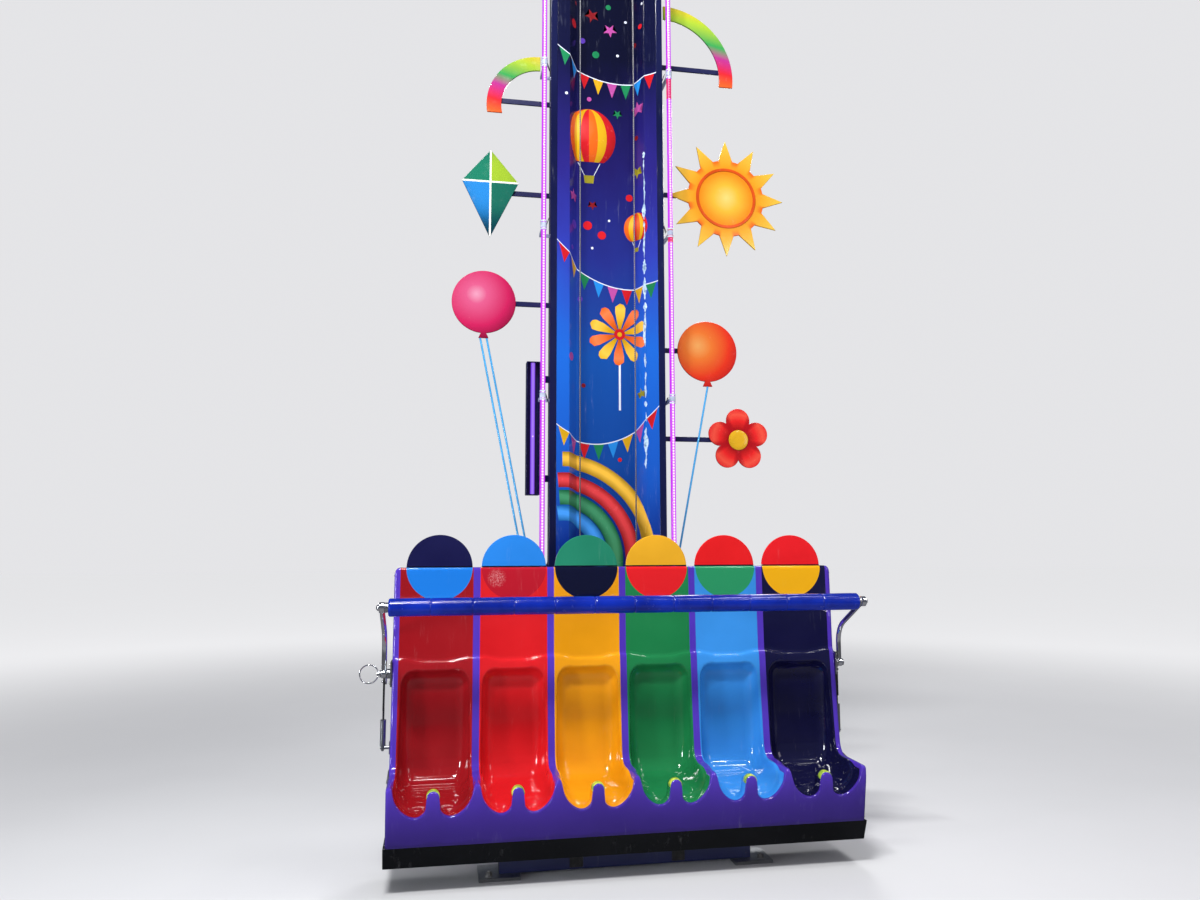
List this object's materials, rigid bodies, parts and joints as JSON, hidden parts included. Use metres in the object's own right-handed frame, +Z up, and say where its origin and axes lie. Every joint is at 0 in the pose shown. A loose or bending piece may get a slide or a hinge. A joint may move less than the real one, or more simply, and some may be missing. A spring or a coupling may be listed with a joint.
{
  "type": "children's drop tower ride",
  "caption": "Small indoor drop tower: a steel column with a padded-bar bench of coloured moulded seats that slides up and down its front, lit bars and painted cut-outs.",
  "frame": {"origin": "on the floor, at the centre of the anchor hole pattern and of the column", "axes": "+Z up the column, -Y to the front that the seats face, +X to the right seen from the front"},
  "size_m": [2.578, 1.6845, 6.62],
  "materials": {
    "base_frame": "gloss",
    "anchor_plates": "galvanised",
    "column": "gloss",
    "front_plate": "gloss",
    "guide_rails": "gloss",
    "head_housing": "gloss",
    "head_sheaves": "machined",
    "foot_sheaves": "machined",
    "lift_ropes": "stranded wire",
    "service_cover": "gloss",
    "led_bars": "clear tube, lit",
    "led_brackets": "clear",
    "lamp_housing": "gloss",
    "lamp_tube": "lit",
    "kite": "gloss",
    "pink_balloon": "gloss",
    "orange_balloon": "gloss",
    "sun": "gloss",
    "flower": "gloss",
    "rainbow_arcs": "gloss",
    "scenery_stays": "gloss",
    "scenery_brackets": "gloss",
    "carriage_frame": "satin",
    "guide_rollers": "polyurethane tread",
    "rope_clamps": "machined",
    "bench_shell": "glass fibre, gloss",
    "back_panel": "glass fibre",
    "seat_1": "glass fibre, gloss",
    "seat_2": "glass fibre, gloss",
    "seat_3": "glass fibre, gloss",
    "seat_4": "glass fibre, gloss",
    "seat_5": "glass fibre, gloss",
    "seat_6": "glass fibre, gloss",
    "back_discs": "gloss",
    "bumper_band": "gloss",
    "post_tips": "moulded",
    "bar_pivots": "machined",
    "strut_cylinders": "machined",
    "release_ring": "polished",
    "lap_bar_tube": "zinc",
    "lap_bar_pad": "vinyl wrapped foam",
    "lap_bar_arms": "polished",
    "lap_bar_caps": "polished",
    "strut_rod_left": "black",
    "strut_rod_right": "black"
  },
  "bodies": {
    "tower": {"base_frame": "base_frame", "anchor_plates": "anchor_plates", "column": "column", "front_plate": "front_plate", "guide_rails": "guide_rails", "head_housing": "head_housing", "head_sheaves": "head_sheaves", "foot_sheaves": "foot_sheaves", "lift_ropes": "lift_ropes", "service_cover": "service_cover", "led_bars": "led_bars", "led_brackets": "led_brackets", "lamp_housing": "lamp_housing", "lamp_tube": "lamp_tube", "kite": "kite", "pink_balloon": "pink_balloon", "orange_balloon": "orange_balloon", "sun": "sun", "flower": "flower", "rainbow_arcs": "rainbow_arcs", "scenery_stays": "scenery_stays", "scenery_brackets": "scenery_brackets"},
    "gondola": {"carriage_frame": "carriage_frame", "guide_rollers": "guide_rollers", "rope_clamps": "rope_clamps", "bench_shell": "bench_shell", "back_panel": "back_panel", "seat_1": "seat_1", "seat_2": "seat_2", "seat_3": "seat_3", "seat_4": "seat_4", "seat_5": "seat_5", "seat_6": "seat_6", "back_discs": "back_discs", "bumper_band": "bumper_band", "post_tips": "post_tips", "bar_pivots": "bar_pivots", "strut_cylinders": "strut_cylinders", "release_ring": "release_ring"},
    "lap_bar": {"lap_bar_tube": "lap_bar_tube", "lap_bar_pad": "lap_bar_pad", "lap_bar_arms": "lap_bar_arms", "lap_bar_caps": "lap_bar_caps"},
    "strut_left": {"strut_rod_left": "strut_rod_left"},
    "strut_right": {"strut_rod_right": "strut_rod_right"}
  },
  "joints": [
    {"name": "gondola_lift", "type": "slide", "parent": "tower", "child": "gondola", "axis": [0, 0, 1], "range_m": [0, 4.2]},
    {"name": "lap_bar", "type": "hinge", "parent": "gondola", "child": "lap_bar", "pos_m": [0, -0.56, 0.965], "axis": [1, 0, 0], "range_deg": [0, 95]},
    {"name": "strut_slide_left", "type": "slide", "parent": "gondola", "child": "strut_left", "axis": [0, 0, 1], "range_m": [0, 0.09]},
    {"name": "strut_slide_right", "type": "slide", "parent": "gondola", "child": "strut_right", "axis": [0, 0, 1], "range_m": [0, 0.09]}
  ],
  "couplings": [
    {"joint": "strut_slide_left", "follows": "lap_bar", "m_per_rad": 0.05336},
    {"joint": "strut_slide_right", "follows": "lap_bar", "m_per_rad": 0.05336}
  ]
}
